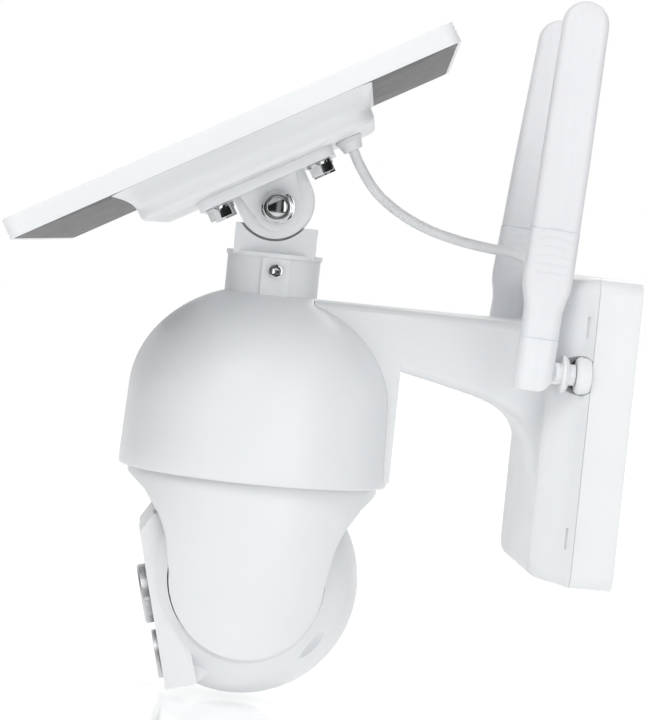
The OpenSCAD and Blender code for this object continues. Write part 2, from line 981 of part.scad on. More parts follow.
module ball_shell() {
    color(white)
        on_ball()
            difference() {
                union() {
                    ball_body(0);
                    block_cheeks();
                }
                ball_body(shell_t);
                for (side = [-1, 1])
                    along_x(side > 0 ? flat_x : -60, side > 0 ? 60 : -flat_x, recess_r, 96);
                along_x(-40, 40, trunnion_r + 0.02);
                translate([0, face_y - 1, 0]) {
                    translate([0, 1 + 1.2, face_mid])
                        rotate([90, 0, 0])
                            slab(58, 60, 8, 4);
                    translate([0, 0, lens_up])
                        rotate([-90, 0, 0])
                            cylinder(12, r = 11.6, $fn = 64);
                    translate([0, 0, pir_down])
                        rotate([-90, 0, 0])
                            cylinder(12, r = pir_r - 2.4, $fn = 64);
                }
                for (side = [-1, 1])
                    translate([side * 32, 38.4 * cos(almond_at), ball_mid[2] - 38.4 * sin(almond_at)])
                        rotate([-almond_at, 0, 0])
                            almond();
                card_panel(0.15);
            }
}

module face_plate() {
    color("#24262a")
        on_ball()
            translate([0, face_y + 1.15, 0])
                difference() {
                    translate([0, 0, face_mid])
                        rotate([90, 0, 0])
                            slab(57.6, 59.6, 7.8, 1);
                    translate([0, 1, lens_up])
                        rotate([90, 0, 0])
                            cylinder(5, r = 11.7, $fn = 64);
                    translate([0, 1, pir_down])
                        rotate([90, 0, 0])
                            cylinder(5, r = pir_r - 2.3, $fn = 64);
                    for (p = led_places)
                        translate([p[0], 1, p[1]])
                            rotate([90, 0, 0])
                                cylinder(5, r = 3.1, $fn = 32);
                }
}

led_places = [[-22, 10], [22, 10], [-23, -3], [23, -3], [-22, -16], [22, -16], [-9, 16.5], [9, 16.5]];

module lens_ring() {
    color("#e4e7e9")
        on_ball()
            translate([0, face_y + 0.1, lens_up])
                rotate([90, 0, 0])
                    difference() {
                        union() {
                            cylinder(3.3, r = 13, $fn = 96);
                            translate([0, 0, 3.3 - eps])
                                cylinder(0.8, r1 = 13, r2 = 12.2, $fn = 96);
                        }
                        translate([0, 0, -1])
                            cylinder(7, r = 10, $fn = 64);
                    }
}

module lens_barrel() {
    color("#1b1c1f")
        on_ball()
            translate([0, face_y + 9, lens_up])
                rotate([90, 0, 0])
                    difference() {
                        union() {
                            cylinder(11, r = 9.9, $fn = 64);
                            translate([0, 0, -9])
                                cylinder(10, r = 7, $fn = 64);
                        }
                        translate([0, 0, 5])
                            cylinder(7, r1 = 4.5, r2 = 8.8, $fn = 64);
                    }
}

module lens_glass() {
    color("#2d3550")
        on_ball()
            translate([0, face_y - 2.1, lens_up])
                rotate([90, 0, 0])
                    cylinder(1.2, r = 9.9, $fn = 64);
}

module pir_ring() {
    color("#9fa3a6")
        on_ball()
            translate([0, face_y - 0.02, pir_down])
                rotate([90, 0, 0])
                    difference() {
                        cylinder(2.2, r = pir_r, $fn = 96);
                        translate([0, 0, -1])
                            cylinder(7, r = pir_r - 1.9, $fn = 64);
                    }
}

module pir_window() {
    color("#dfe2e2")
        on_ball()
            translate([0, face_y - 0.02, pir_down])
                rotate([90, 0, 0])
                    intersection() {
                        cylinder(4, r = pir_r - 2, $fn = 64);
                        translate([0, 0, -13.6])
                            sphere(15.5, $fn = 96);
                    }
}

module ir_leds() {
    color("#4a3038")
        on_ball()
            for (p = led_places)
                translate([p[0], face_y + 1.1, p[1]])
                    rotate([90, 0, 0]) {
                        cylinder(0.6, r = 2.9, $fn = 32);
                        translate([0, 0, 0.5])
                            cylinder(0.5, r1 = 2.4, r2 = 1.6, $fn = 32);
                    }
}

module camera_board() {
    color(board_green)
        on_ball() {
            translate([-20, -20, -16])
                cube([40, 1.6, 38]);
            for (x = [-18, 11])
                translate([x, -18.5, -10])
                    cube([7, 3, 9]);
        }
}

// Curved plate over the card slot, grown by g
module card_panel(g) {
    translate(ball_mid)
        intersection() {
            difference() {
                ball_slice(ball_r + (g > 0 ? 1 : 0), 8.8 + g, 8);
                ball_slice(ball_r - 1.8 - g, 9 + g, 8);
            }
            translate([-10, 2.2 - g, -ball_r - 1.5])
                cube([20, 15.6 + 2 * g, 8]);
        }
}

module card_cover() {
    color(warm_white)
        on_ball()
            card_panel(0);
}

// ---------- antennas ----------

module ant_knuckle(side) {
    color(white)
        translate([side * ant_x, 0, ant_z])
            difference() {
                union() {
                    rotate([90, 0, 0]) {
                        translate([0, 0, rear_d + 1])
                            cylinder(8, r = 3, $fn = 48);
                        translate([0, 0, -socket_y + 0.35])
                            cylinder(4.2, r = 4.5, $fn = 48);
                        translate([0, 0, -socket_y + 3.4])
                            cylinder(1.5, r1 = 6.4, r2 = 7.9, $fn = 64);
                        translate([0, 0, -socket_y + 4.9 - eps])
                            cylinder(1.2, r = 7.9, $fn = 64);
                        translate([0, 0, -socket_y + 6])
                            cylinder(2.6, r = 4.5, $fn = 48);
                    }
                    translate([-2.4, ant_y, -4.5])
                        cube([4.8, 10, 9]);
                    translate([0, ant_y, 0])
                        along_x(-2.4, 2.4, 4.8, 48);
                }
                translate([0, ant_y, 0])
                    along_x(-5, 5, 2.05, 32);
            }
}

module ant_fold_pin(side, lean) {
    color(steel)
        on_antenna(side, lean)
            along_x(-5.4, 5.4, 2, 32);
}

module ant_sleeve(side, lean) {
    color(white)
        on_antenna(side, lean)
            difference() {
                union() {
                    translate([0, 0, -8])
                        slab(sleeve_t, sleeve_w, 5.2, sleeve_top + 8);
                    translate([0, 0, sleeve_top - 1])
                        slab(7.9, 11.6, 1, 9);
                }
                translate([-2.75, -5.4, -9])
                    cube([5.5, 20, 15.5]);
                along_x(-5.45, 5.45, 2.02, 32);
                difference() {
                    translate([-8, 0, -9])
                        cube([16, 10, 9]);
                    along_x(-9, 9, 8.2);
                }
            }
}

// Sections of an antenna shell, from low to high: height, half thickness, half width
function paddle_section(z, hx, hy, r, n = 5) = [
    for (c = [[1, 1, 0], [-1, 1, 90], [-1, -1, 180], [1, -1, 270]], i = [0:n])
        let (a = c[2] + i * 90 / n)
            [c[0] * (hx - r) + r * cos(a), c[1] * (hy - r) + r * sin(a), z]
];

module stack(list) {
    rings = [for (s = list) paddle_section(s[0], s[1], s[2], s[3])];
    n = len(rings[0]);
    m = len(rings);
    polyhedron(
        points = [for (r = rings, p = r) p],
        faces = concat(
            [[for (i = [0:n - 1]) i]],
            [for (k = [0:m - 2], i = [0:n - 1])
                [k * n + i, (k + 1) * n + i, (k + 1) * n + (i + 1) % n]],
            [for (k = [0:m - 2], i = [0:n - 1])
                [k * n + i, (k + 1) * n + (i + 1) % n, k * n + (i + 1) % n]],
            [[for (i = [n - 1:-1:0]) (m - 1) * n + i]]
        )
    );
}

paddle_t = 9.4;
joint_up = 60;

module ant_lower_shell(side, lean) {
    w = paddle_w / 2;
    color(white)
        on_antenna(side, lean)
            difference() {
                stack([
                    [sleeve_top + 0.04, 6.2, 8.15, 5.1], [26, 6.2, 8.2, 5.1], [29, 6, 8.6, 4.4],
                    [31.5, 5.8, 9.2, 3.8], [34.5, 5.2, 10, 3.4], [37.5, 4.85, w - 0.1, 3.5],
                    [41, 4.8, w, 3.6], [joint_up - 0.04, 4.8, w, 3.6]
                ]);
                translate([-4.05, -5.9, sleeve_top - 1])
                    cube([8.1, 11.8, 9.3]);
            }
}

module ant_paddle(side, lean) {
    w = paddle_w / 2;
    top = ant_len - 8;
    t = paddle_t / 2;
    color(white)
        on_antenna(side, lean)
            stack(concat(
                [[joint_up, t, w - 0.15, 3.6], [joint_up + 30, t, w - 0.15, 3.6],
                    [top - w, t - 0.4, w - 0.7, 3.4]],
                [for (i = [1:9])
                    let (a = i * 9.4)
                        [top - w + (w - 0.4) * sin(a), (t - 0.4) * pow(cos(a), 0.35),
                            (w - 0.7) * cos(a), 3.4 * cos(a)]]
            ));
}

// ---------- solar lead ----------

// Point on the smooth curve through the route, u counts whole route points
function route_point(u) =
    let (
        n = len(lead_route), i = min(floor(u), n - 2), t = u - i,
        p1 = lead_route[i], p2 = lead_route[i + 1],
        p0 = i > 0 ? lead_route[i - 1] : p2 - 2 * norm(p2 - p1) * lead_start_dir,
        p3 = i < n - 2 ? lead_route[i + 2] : p1 + 2 * norm(p2 - p1) * lead_end_dir
    )
    0.5 * (2 * p1 + (p2 - p0) * t + (2 * p0 - 5 * p1 + 4 * p2 - p3) * t * t
        + (3 * p1 - p0 - 3 * p2 + p3) * t * t * t);

function unit(v) = v / norm(v);

function route_dir(u) =
    u < 0.01 ? unit(lead_start_dir)
    : u > len(lead_route) - 1.01 ? unit(lead_end_dir)
    : unit(route_point(u + 0.01) - route_point(u - 0.01));

module solar_lead() {
    sides = 10;
    last = len(lead_route) - 1;
    rings = [for (u = [0:0.5:last]) [route_point(u), route_dir(u)]];
    m = len(rings);
    color(white)
        polyhedron(
            points = [for (r = rings)
                let (s = unit(cross(r[1], [1, 0, 0])), q = cross(r[1], s))
                    for (k = [0:sides - 1])
                        r[0] + lead_d / 2 * (cos(k * 360 / sides) * s + sin(k * 360 / sides) * q)],
            faces = concat(
                [[for (i = [0:sides - 1]) i]],
                [for (k = [0:m - 2], i = [0:sides - 1])
                    [k * sides + i, (k + 1) * sides + i, (k + 1) * sides + (i + 1) % sides]],
                [for (k = [0:m - 2], i = [0:sides - 1])
                    [k * sides + i, (k + 1) * sides + (i + 1) % sides, k * sides + (i + 1) % sides]],
                [[for (i = [sides - 1:-1:0]) (m - 1) * sides + i]]
            )
        );
}

// ---------- nodes ----------

rear_housing();
front_cover();
cover_seal();
arm();
dome_hood();
collar_set_screw();
housing_screws();
battery_cells();
battery_holder();
charge_board();
radio_board();
antenna_sockets();
lead_gland();
pan_carrier();
pan_motor();
carrier_screws();
panel_post();
tilt_bracket();
pivot_bolt();
pivot_washers();
pivot_nut();
bracket_bolts();
panel_tray();
panel_frame();
panel_backsheet();
solar_cells();
panel_glass();
lead_grommet();
yoke();
pan_hub();
pan_shaft();
ear_plates();
tilt_motor();
ball_shell();
face_plate();
lens_ring();
lens_barrel();
lens_glass();
pir_ring();
pir_window();
ir_leds();
camera_board();
card_cover();
tilt_shafts();
ant_knuckle(1);  // right_knuckle
ant_fold_pin(1, right_lean);  // right_fold_pin
ant_sleeve(1, right_lean);  // right_sleeve
ant_lower_shell(1, right_lean);  // right_lower_shell
ant_paddle(1, right_lean);  // right_paddle
ant_knuckle(-1);  // left_knuckle
ant_fold_pin(-1, left_lean);  // left_fold_pin
ant_sleeve(-1, left_lean);  // left_sleeve
ant_lower_shell(-1, left_lean);  // left_lower_shell
ant_paddle(-1, left_lean);  // left_paddle
solar_lead();
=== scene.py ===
import math

import bmesh
import bpy
from mathutils import Euler, Matrix, Vector


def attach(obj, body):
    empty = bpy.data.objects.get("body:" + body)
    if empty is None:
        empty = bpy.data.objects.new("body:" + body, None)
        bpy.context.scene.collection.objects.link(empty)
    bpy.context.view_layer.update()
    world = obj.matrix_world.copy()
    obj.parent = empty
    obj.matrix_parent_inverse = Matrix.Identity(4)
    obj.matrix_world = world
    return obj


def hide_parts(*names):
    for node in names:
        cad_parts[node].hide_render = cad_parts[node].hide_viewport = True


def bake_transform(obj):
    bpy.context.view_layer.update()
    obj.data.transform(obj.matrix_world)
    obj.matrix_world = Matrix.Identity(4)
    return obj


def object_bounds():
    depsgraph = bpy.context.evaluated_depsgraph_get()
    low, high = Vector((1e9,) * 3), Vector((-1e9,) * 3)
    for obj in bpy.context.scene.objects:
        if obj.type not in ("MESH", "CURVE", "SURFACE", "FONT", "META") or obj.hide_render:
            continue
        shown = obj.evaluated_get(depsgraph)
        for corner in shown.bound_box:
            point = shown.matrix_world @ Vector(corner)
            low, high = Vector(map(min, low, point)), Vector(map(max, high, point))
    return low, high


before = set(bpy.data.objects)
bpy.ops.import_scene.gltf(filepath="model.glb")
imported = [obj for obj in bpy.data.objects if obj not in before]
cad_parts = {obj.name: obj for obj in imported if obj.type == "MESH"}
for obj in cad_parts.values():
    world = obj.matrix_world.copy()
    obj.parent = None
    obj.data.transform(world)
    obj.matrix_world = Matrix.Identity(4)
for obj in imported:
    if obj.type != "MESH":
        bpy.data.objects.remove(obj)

cad_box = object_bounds()

# Places shared with the CAD model, in metres
AXIS_OUT = 0.1525                               # wall to the camera's turning axis
PIVOT = Vector((0, -AXIS_OUT, 0.082))           # the panel's tilt pivot
TILT_CENTRE = Vector((0, -AXIS_OUT, -0.077))    # the camera ball's centre
PANEL_TURN = Euler((math.radians(29.5), 0, math.radians(-4.9)))
BALL_TURN = Euler((math.radians(15), 0, 0))
UNDER = 0.0287                                  # pivot to the panel frame's underside
TRAY_DEPTH = 0.0133
PANEL_SIZE = (0.255, 0.196)                     # across its slope and along it
PANEL_SHIFT = -0.0022                           # cells' centre from the pivot, along the slope
FACE_Y = -0.04165                               # seat of the lens and the sensor window
LENS_UP = -0.0034
PIR_DOWN = -0.0304
FOLD_AT = (-0.042, 0.0242)                      # Y and Z of the antennas' fold pins
ANTENNAS = (("right_antenna", 0.060, 2.5), ("left_antenna", -0.060, 4.9))    # body, X, lean
GLAND_AT = (0.008, -0.0314, 0.0613)
GLAND_LEAN = math.radians(53.13)

PANEL_FRAME = Matrix.Translation(PIVOT) @ PANEL_TURN.to_matrix().to_4x4()
BALL_FRAME = Matrix.Translation(TILT_CENTRE) @ BALL_TURN.to_matrix().to_4x4()


# ---------- camera ----------

def make_camera():
    """The photo's viewing angle, through a long lens."""
    data = bpy.data.cameras.new("photo_camera")
    data.lens = 160
    data.sensor_width = 36
    data.clip_end = 20
    cam = bpy.data.objects.new("photo_camera", data)
    right = Vector((0.0664, 0.9926, 0.1018)).normalized()
    forward = Vector((-0.9966, 0.0709, -0.0411)).normalized()
    up = right.cross(forward).normalized()
    forward = up.cross(right).normalized()
    turn = Matrix((right, up, -forward)).transposed()
    cam.matrix_world = Matrix.Translation((1.395, -0.226, 0.0752)) @ turn.to_4x4()
    bpy.context.scene.collection.objects.link(cam)
    bpy.context.scene.camera = cam


make_camera()


# ---------- materials ----------

class Nodes:
    """Short names for the nodes of one material."""

    def __init__(self, name):
        self.mat = bpy.data.materials.new(name)
        self.mat.use_nodes = True
        self.tree = self.mat.node_tree
        self.bsdf = self.tree.nodes["Principled BSDF"]
        self.coord = self.tree.nodes.new("ShaderNodeTexCoord").outputs["Object"]

    def link(self, a, b):
        self.tree.links.new(a, b)

    def local(self, place, turn):
        """Object coordinates in a frame at place, turned by turn."""
        node = self.tree.nodes.new("ShaderNodeMapping")
        node.vector_type = "TEXTURE"
        node.inputs["Location"].default_value = place
        node.inputs["Rotation"].default_value = turn
        self.link(self.coord, node.inputs["Vector"])
        return node.outputs["Vector"]

    def noise(self, scale, detail=3, rough=0.5, vector=None):
        node = self.tree.nodes.new("ShaderNodeTexNoise")
        node.inputs["Scale"].default_value = scale
        node.inputs["Detail"].default_value = detail
        node.inputs["Roughness"].default_value = rough
        self.link(vector or self.coord, node.inputs["Vector"])
        return node.outputs["Fac"]

    def cells(self, scale, vector=None):
        node = self.tree.nodes.new("ShaderNodeTexVoronoi")
        node.inputs["Scale"].default_value = scale
        self.link(vector or self.coord, node.inputs["Vector"])
        return node.outputs["Distance"]

    def math(self, kind, a, b=0.0):
        node = self.tree.nodes.new("ShaderNodeMath")
        node.operation = kind
        for socket, value in zip(node.inputs, (a, b)):
            if isinstance(value, (int, float)):
                socket.default_value = value
            else:
                self.link(value, socket)
        return node.outputs[0]

    def split(self, vector):
        node = self.tree.nodes.new("ShaderNodeSeparateXYZ")
        self.link(vector, node.inputs[0])
        return node.outputs

    def spread(self, fac, low, high, start=0.3, end=0.7):
        node = self.tree.nodes.new("ShaderNodeMapRange")
        node.inputs["From Min"].default_value = start
        node.inputs["From Max"].default_value = end
        node.inputs["To Min"].default_value = low
        node.inputs["To Max"].default_value = high
        self.link(fac, node.inputs["Value"])
        return node.outputs["Result"]

    def ramp(self, fac, *stops):
        node = self.tree.nodes.new("ShaderNodeValToRGB")
        ramp = node.color_ramp
        while len(ramp.elements) < len(stops):
            ramp.elements.new(0.5)
        for element, (place, colour) in zip(ramp.elements, stops):
            element.position = place
            element.color = (*colour, 1)
        self.link(fac, node.inputs["Fac"])
        return node.outputs["Color"]

    def mix(self, fac, a, b):
        node = self.tree.nodes.new("ShaderNodeMix")
        node.data_type = "RGBA"
        self.link(fac, node.inputs["Factor"])
        for socket, value in ((node.inputs[6], a), (node.inputs[7], b)):
            if isinstance(value, tuple):
                socket.default_value = (*value, 1)
            else:
                self.link(value, socket)
        return node.outputs[2]

    def bump(self, height, strength, distance):
        node = self.tree.nodes.new("ShaderNodeBump")
        node.inputs["Strength"].default_value = strength
        node.inputs["Distance"].default_value = distance
        self.link(height, node.inputs["Height"])
        self.link(node.outputs["Normal"], self.bsdf.inputs["Normal"])

    def colour(self, value):
        self.link(value, self.bsdf.inputs["Base Color"])

    def rough(self, value):
        self.link(value, self.bsdf.inputs["Roughness"])

    def set(self, **values):
        for key, value in values.items():
            self.bsdf.inputs[key.replace("_", " ")].default_value = value


def moulded_white(name, light, dark, gloss=(0.3, 0.42), grain=2600):
    """Moulded plastic: cloudy tint, fine grain and uneven gloss."""
    n = Nodes(name)
    cloud = n.noise(14, 4)
    speck = n.noise(grain, 2, 0.6)
    tint = n.ramp(cloud, (0.3, dark), (0.7, light))
    n.colour(n.mix(n.spread(speck, 0, 0.35, 0.62, 0.78), tint, tuple(0.93 * c for c in dark)))
    n.rough(n.spread(n.noise(38, 5), *gloss))
    orange_peel = n.math("ADD", n.math("MULTIPLY", n.noise(420, 2), 0.7),
                         n.math("MULTIPLY", speck, 0.3))
    n.bump(orange_peel, 0.1, 0.0002)
    n.set(IOR=1.5, Specular_IOR_Level=0.42, Subsurface_Weight=0.03, Subsurface_Scale=0.004)
    return n.mat


def metal(name, light, dark, gloss, grain_scale, grain):
    """Turned or pressed metal with fine tool lines and handling marks."""
    n = Nodes(name)
    cloud = n.noise(160, 4)
    n.colour(n.ramp(cloud, (0.3, dark), (0.7, light)))
    n.rough(n.spread(n.noise(520, 4), *gloss))
    n.bump(n.noise(grain_scale, 3, 0.7), grain, 0.0001)
    n.set(Metallic=1.0)
    return n.mat


def dark_plastic(name, light, dark, gloss, coat=0.0):
    """Dark plastic or rubber, cloudy and unevenly glossy, with a clear coat if coat is set."""
    n = Nodes(name)
    n.colour(n.ramp(n.noise(60, 5), (0.3, dark), (0.7, light)))
    n.rough(n.spread(n.noise(220, 4), *gloss))
    n.bump(n.noise(1800, 2), 0.12, 0.0001)
    n.set(Coat_Weight=coat, Coat_Roughness=0.05)
    return n.mat


def circuit_board():
    """Green solder mask with copper stripes showing in patches."""
    n = Nodes("circuit_board")
    x, y, z = n.split(n.coord)
    tracks = n.cells(260)
    stripes = n.math("FRACT", n.math("MULTIPLY", n.math("ADD", x, z), 420))
    copper = n.spread(stripes, 0, 1, 0.82, 0.86)
    green = n.ramp(n.noise(90, 4), (0.3, (0.012, 0.07, 0.03)), (0.7, (0.02, 0.11, 0.05)))
    shown = n.math("MULTIPLY", copper, n.spread(tracks, 0, 1, 0.2, 0.3))
    n.colour(n.mix(shown, green, (0.55, 0.36, 0.14)))
    n.rough(n.spread(n.noise(300), 0.3, 0.5))
    n.bump(tracks, 0.3, 0.0002)
    return n.mat


def battery_wrap():
    """Shrink-wrapped blue film."""
    n = Nodes("battery_wrap")
    n.colour(n.ramp(n.noise(120, 4), (0.3, (0.03, 0.13, 0.32)), (0.7, (0.05, 0.2, 0.42))))
    n.rough(n.spread(n.noise(200), 0.22, 0.4))
    n.bump(n.noise(700, 3), 0.2, 0.0002)
    return n.mat


def solar_silicon():
    """Dark blue cells with fine silver fingers across each and a faint crystal pattern."""
    n = Nodes("solar_silicon")
    local = n.local(PIVOT, PANEL_TURN)
    x, y, z = n.split(local)
    crystal = n.cells(95, local)
    base = n.ramp(crystal, (0.0, (0.006, 0.011, 0.035)), (0.5, (0.011, 0.019, 0.055)),
                  (1.0, (0.02, 0.03, 0.08)))
    fingers = n.spread(n.math("PINGPONG", n.math("MULTIPLY", y, 520), 1.0), 1, 0, 0.04, 0.1)
    n.colour(n.mix(n.math("MULTIPLY", fingers, 0.55), base, (0.36, 0.38, 0.42)))
    n.rough(n.spread(n.noise(140, 3, vector=local), 0.2, 0.34))
    n.bump(n.noise(2400, 2, vector=local), 0.15, 0.0001)
    n.set(Metallic=0.25, Specular_IOR_Level=0.6)
    return n.mat


def panel_cover():
    """Textured front glass: clear, with rain dust and a fine pebbled surface."""
    n = Nodes("panel_cover")
    dust = n.noise(26, 6, 0.6)
    n.colour(n.ramp(dust, (0.35, (0.86, 0.9, 0.93)), (0.75, (0.97, 0.98, 1.0))))
    n.rough(n.spread(dust, 0.03, 0.14))
    n.bump(n.cells(900), 0.06, 0.0001)
    n.set(Transmission_Weight=0.96, IOR=1.46)
    return n.mat


def lens_coating():
    """Deep violet glass with a thin film on it."""
    n = Nodes("lens_coating")
    n.colour(n.ramp(n.noise(70, 4), (0.3, (0.012, 0.012, 0.03)), (0.7, (0.03, 0.02, 0.06))))
    n.rough(n.spread(n.noise(800), 0.02, 0.06))
    n.bump(n.noise(60, 2), 0.02, 0.0002)
    n.set(Coat_Weight=1.0, Coat_Roughness=0.02, Specular_IOR_Level=0.8,
          Thin_Film_Thickness=380, Thin_Film_IOR=1.38)
    return n.mat


def milky_window():
    """Translucent polythene with the small rings of a Fresnel lens."""
    n = Nodes("milky_window")
    local = n.local(BALL_FRAME @ Vector((0, FACE_Y, PIR_DOWN)), BALL_TURN)
    n.colour(n.ramp(n.noise(180, 4, vector=local), (0.3, (0.7, 0.72, 0.73)), (0.7, (0.8, 0.82, 0.83))))
    n.rough(n.spread(n.noise(300), 0.35, 0.5))
    n.bump(n.cells(420, local), 0.5, 0.0003)
    n.set(Subsurface_Weight=0.25, Subsurface_Scale=0.003, Transmission_Weight=0.1)
    return n.mat


def led_resin():
    """Dark red resin of infrared lamps."""
    n = Nodes("led_resin")
    n.colour(n.ramp(n.noise(400, 3), (0.3, (0.05, 0.006, 0.012)), (0.7, (0.11, 0.012, 0.02))))
    n.rough(n.spread(n.noise(900), 0.08, 0.2))
    n.bump(n.noise(700, 2), 0.1, 0.0001)
    n.set(Coat_Weight=0.6)
    return n.mat


def antenna_white():
    """Softer, slightly translucent plastic with faint flow lines along the blade."""
    n = Nodes("antenna_white")
    lines = n.tree.nodes.new("ShaderNodeMapping")
    lines.inputs["Scale"].default_value = (420, 420, 6)
    n.link(n.coord, lines.inputs["Vector"])
    streak = n.noise(1, 3, 0.5, lines.outputs["Vector"])
    cloud = n.ramp(n.noise(20, 4), (0.3, (0.78, 0.79, 0.815)), (0.7, (0.84, 0.85, 0.87)))
    n.colour(n.mix(n.spread(streak, 0, 0.5), cloud, (0.76, 0.77, 0.8)))
    n.rough(n.spread(n.noise(60, 4), 0.36, 0.5))
    n.bump(n.math("ADD", n.math("MULTIPLY", streak, 0.5), n.noise(900, 2)), 0.12, 0.0002)
    n.set(Subsurface_Weight=0.1, Subsurface_Scale=0.006)
    return n.mat


def cable_sheath():
    """Soft white sheath with a slightly rough surface."""
    n = Nodes("cable_sheath")
    n.colour(n.ramp(n.noise(90, 4), (0.3, (0.77, 0.78, 0.79)), (0.7, (0.85, 0.86, 0.87))))
    n.rough(n.spread(n.noise(260, 4), 0.34, 0.52))
    n.bump(n.noise(1500, 3), 0.2, 0.0001)
    n.set(Subsurface_Weight=0.05, Subsurface_Scale=0.003)
    return n.mat


WHITE = moulded_white("white_plastic", (0.83, 0.845, 0.858), (0.80, 0.817, 0.83))
INNER = moulded_white("inner_plastic", (0.68, 0.69, 0.69), (0.62, 0.63, 0.63), (0.45, 0.6), 1500)
# Painted shade: the panel's underside is given a dark grey that stands in for the shade falling under the
# white panel
SHADE_GREY_BACKSHEET = dark_plastic("backsheet", (0.15, 0.15, 0.152), (0.12, 0.12, 0.124), (0.5, 0.62))
RUBBER = dark_plastic("seal_rubber", (0.045, 0.045, 0.047), (0.028, 0.028, 0.03), (0.6, 0.8))
SMOKED = dark_plastic("smoked_face", (0.012, 0.012, 0.014), (0.006, 0.006, 0.008), (0.08, 0.16), 0.7)
BARREL = dark_plastic("lens_black", (0.02, 0.02, 0.021), (0.01, 0.01, 0.011), (0.4, 0.55))
STAINLESS = metal("stainless", (0.66, 0.67, 0.68), (0.46, 0.47, 0.48), (0.05, 0.12), 1400, 0.06)
PLATED = metal("plated_ring", (0.80, 0.81, 0.82), (0.70, 0.71, 0.72), (0.42, 0.52), 900, 0.12)
MOTOR = metal("motor_can", (0.42, 0.43, 0.45), (0.32, 0.33, 0.35), (0.3, 0.45), 900, 0.3)
BOARD = circuit_board()
WRAP = battery_wrap()
SILICON = solar_silicon()
COVER = panel_cover()
COATING = lens_coating()
MILKY = milky_window()
LED = led_resin()
ANTENNA = antenna_white()
SHEATH = cable_sheath()

FINISH = {
    "rear_housing": WHITE, "front_cover": WHITE, "arm": WHITE, "dome_hood": WHITE,
    "panel_post": WHITE, "tilt_bracket": WHITE, "panel_tray": WHITE, "panel_frame": WHITE,
    "yoke": WHITE, "ball_shell": WHITE, "lead_gland": WHITE, "lead_grommet": WHITE,
    "antenna_sockets": WHITE, "card_cover": WHITE,
    "pan_carrier": INNER, "pan_hub": INNER, "ear_plates": INNER,
    "cover_seal": RUBBER, "battery_holder": BARREL, "battery_cells": WRAP,
    "charge_board": BOARD, "radio_board": BOARD, "camera_board": BOARD,
    "pan_motor": MOTOR, "tilt_motor": MOTOR,
    "housing_screws": STAINLESS, "collar_set_screw": STAINLESS, "carrier_screws": STAINLESS,
    "pivot_bolt": STAINLESS, "pivot_washers": STAINLESS, "pivot_nut": STAINLESS,
    "bracket_bolts": STAINLESS, "pan_shaft": STAINLESS, "tilt_shafts": STAINLESS,
    "panel_backsheet": SHADE_GREY_BACKSHEET, "solar_cells": SILICON, "panel_glass": COVER,
    "face_plate": SMOKED, "lens_ring": PLATED, "lens_barrel": BARREL, "lens_glass": COATING,
    "pir_ring": PLATED, "pir_window": MILKY, "ir_leds": LED, "solar_lead": SHEATH,
}
for side in ("right", "left"):
    FINISH[side + "_fold_pin"] = STAINLESS
    FINISH[side + "_knuckle"] = WHITE
    for part in ("sleeve", "lower_shell", "paddle"):
        FINISH[side + "_" + part] = ANTENNA


# ---------- rounded edges and smooth shading on the CAD parts ----------

SMOOTH_ANGLE = math.radians(32)
BEVEL_ANGLE = math.radians(35)
WELD_GAP = 0.00001


def smooth_group():
    """Geometry nodes that shade smooth everything but edges sharper than SMOOTH_ANGLE."""
    tree = bpy.data.node_groups.new("smooth_by_angle", "GeometryNodeTree")
    tree.interface.new_socket("Geometry", in_out="INPUT", socket_type="NodeSocketGeometry")
    tree.interface.new_socket("Geometry", in_out="OUTPUT", socket_type="NodeSocketGeometry")
    start = tree.nodes.new("NodeGroupInput")
    end = tree.nodes.new("NodeGroupOutput")
    faces = tree.nodes.new("GeometryNodeSetShadeSmooth")
    edges = tree.nodes.new("GeometryNodeSetShadeSmooth")
    edges.domain = "EDGE"
    edges.inputs["Shade Smooth"].default_value = False
    angle = tree.nodes.new("GeometryNodeInputMeshEdgeAngle")
    sharp = tree.nodes.new("ShaderNodeMath")
    sharp.operation = "GREATER_THAN"
    sharp.inputs[1].default_value = SMOOTH_ANGLE
    tree.links.new(start.outputs[0], faces.inputs["Geometry"])
    tree.links.new(angle.outputs["Unsigned Angle"], sharp.inputs[0])
    tree.links.new(sharp.outputs[0], edges.inputs["Selection"])
    tree.links.new(faces.outputs[0], edges.inputs["Geometry"])
    tree.links.new(edges.outputs[0], end.inputs[0])
    return tree


SMOOTH = smooth_group()


def finish_edges(obj, width):
    """Joins doubled points, rounds the sharp edges by width and shades the rest smooth."""
    weld = obj.modifiers.new("weld", "WELD")
    weld.merge_threshold = WELD_GAP
    if width:
        bevel = obj.modifiers.new("edge_round", "BEVEL")
        bevel.width = width
        bevel.segments = 2
        bevel.limit_method = "ANGLE"
        bevel.angle_limit = BEVEL_ANGLE
        bevel.use_clamp_overlap = True
    nodes = obj.modifiers.new("smooth", "NODES")
    nodes.node_group = SMOOTH


# Radius of each part's rounded edges
ANTENNA_EDGE = 0.0008
SMALL_EDGE = 0.00025
EDGE = {
    "rear_housing": 0.0008, "front_cover": 0.0006, "arm": 0.0008, "dome_hood": 0.0005,
    "panel_post": 0.0006, "tilt_bracket": 0.0011, "panel_frame": 0.0012, "yoke": 0.0006,
    "ball_shell": 0.0014, "panel_backsheet": 0.0003, "bracket_bolts": 0.0004, "pivot_nut": 0.00025,
    "pivot_bolt": 0.0003, "pivot_washers": 0.0002, "lens_ring": 0.0002, "pir_ring": 0.0002,
    "lead_gland": 0.0004, "lead_grommet": 0.0003, "solar_cells": 0, "panel_glass": 0.0003,
    "solar_lead": 0,
}


def dress_nodes():
    """Gives each CAD part its material and its rounded edges."""
    for name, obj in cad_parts.items():
        mat = FINISH[name]
        if not obj.material_slots:
            obj.data.materials.append(mat)
        for slot in obj.material_slots:
            slot.link = "OBJECT"
            slot.material = mat
        usual = ANTENNA_EDGE if "sleeve" in name or "paddle" in name else SMALL_EDGE
        finish_edges(obj, EDGE.get(name, usual))


dress_nodes()


# ---------- mesh helpers for the extra pieces ----------

